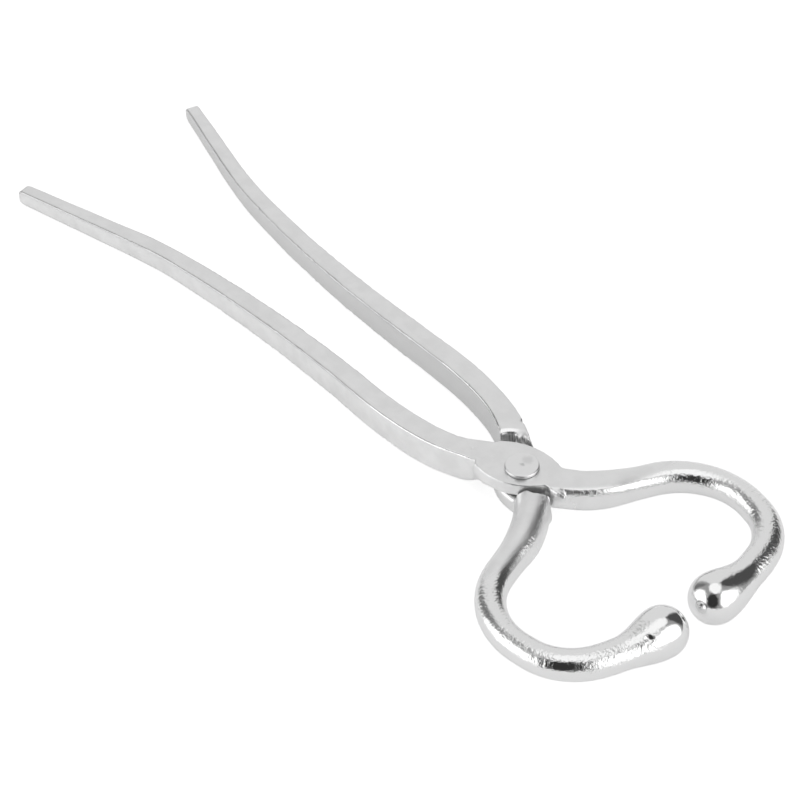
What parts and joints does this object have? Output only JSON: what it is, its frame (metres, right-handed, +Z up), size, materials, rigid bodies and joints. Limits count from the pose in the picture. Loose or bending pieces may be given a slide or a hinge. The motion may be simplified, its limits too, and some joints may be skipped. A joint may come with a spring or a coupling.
{
  "type": "bull nose tongs",
  "caption": "Forged steel livestock nose tongs: crossed levers on a pivot rivet, with round C jaws ending in balls and long flat tapering handles.",
  "frame": {"origin": "on the pivot axis, at the centre of the rivet head's top face", "axes": "+X from the pivot towards the jaws, handles to -X; +Z up along the pivot axis, out of the rivet's head; +Y towards the upper lever's jaw"},
  "size_m": [0.3219, 0.1068, 0.0168],
  "materials": {
    "plated_forging": "nickel plate: satin on the ground flats, polished on the jaws and balls",
    "rivet_steel": "satin, plated with the levers"
  },
  "bodies": {
    "lower_lever": {"lower_lever": "plated_forging", "pivot_rivet": "rivet_steel"},
    "upper_lever": {"upper_lever": "plated_forging"}
  },
  "joints": [
    {"name": "jaw_pivot", "type": "hinge", "parent": "lower_lever", "child": "upper_lever", "pos_m": [0, 0, -0.00715], "axis": [0, 0, 1], "range_deg": [-3, 32]}
  ]
}
